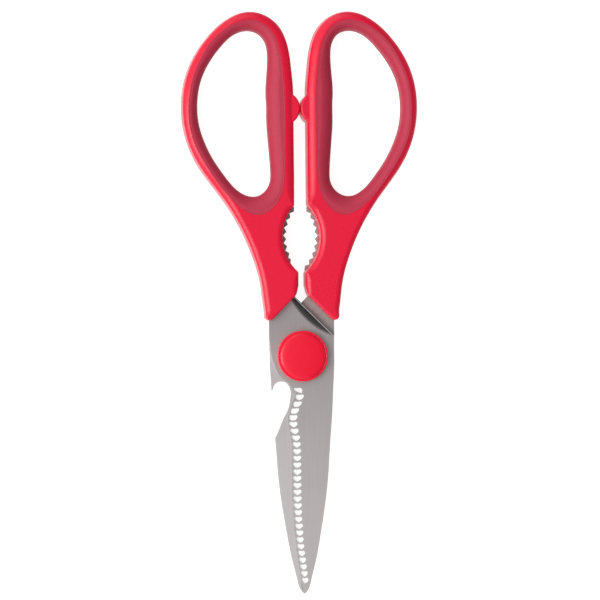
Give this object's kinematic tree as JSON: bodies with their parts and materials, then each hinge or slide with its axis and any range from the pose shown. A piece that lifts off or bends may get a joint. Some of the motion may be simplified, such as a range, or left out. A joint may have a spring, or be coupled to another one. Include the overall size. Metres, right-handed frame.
{
  "type": "kitchen shears",
  "caption": "Kitchen shears with looped soft-grip handles, a serrated blade, a nutcracker mouth and a bottle-opener hook.",
  "frame": {"origin": "on the pivot axis, in the plane that the shears rest on when they lie flat", "axes": "+Y from the pivot to the handles, +X to the right handle, +Z out of the front face"},
  "size_m": [0.0878, 0.2155, 0.013],
  "materials": {
    "blade_steel": "ground along the blade, satin",
    "hard_red": "finely textured, satin",
    "soft_grip": "soft, matt",
    "bumper_red": "smooth, satin",
    "cap_red": "smooth, semi-gloss",
    "pivot_steel": "plain turned steel",
    "washer_nylon": "plain nylon"
  },
  "bodies": {
    "left_half": {"front_blade": "blade_steel", "left_handle_body": "hard_red", "left_soft_grip": "soft_grip", "left_stop_bumper": "bumper_red", "front_pivot_cap": "cap_red", "rear_pivot_cap": "cap_red", "pivot_bolt": "pivot_steel", "head_washer": "washer_nylon", "spring_washer": "pivot_steel", "pivot_nut": "pivot_steel"},
    "right_half": {"rear_blade": "blade_steel", "right_handle_body": "hard_red", "right_soft_grip": "soft_grip", "right_stop_bumper": "bumper_red"}
  },
  "joints": [
    {"name": "blade_pivot", "type": "hinge", "parent": "left_half", "child": "right_half", "pos_m": [0, 0, 0.0065], "axis": [0, 0, -1], "range_deg": [0, 92]}
  ]
}
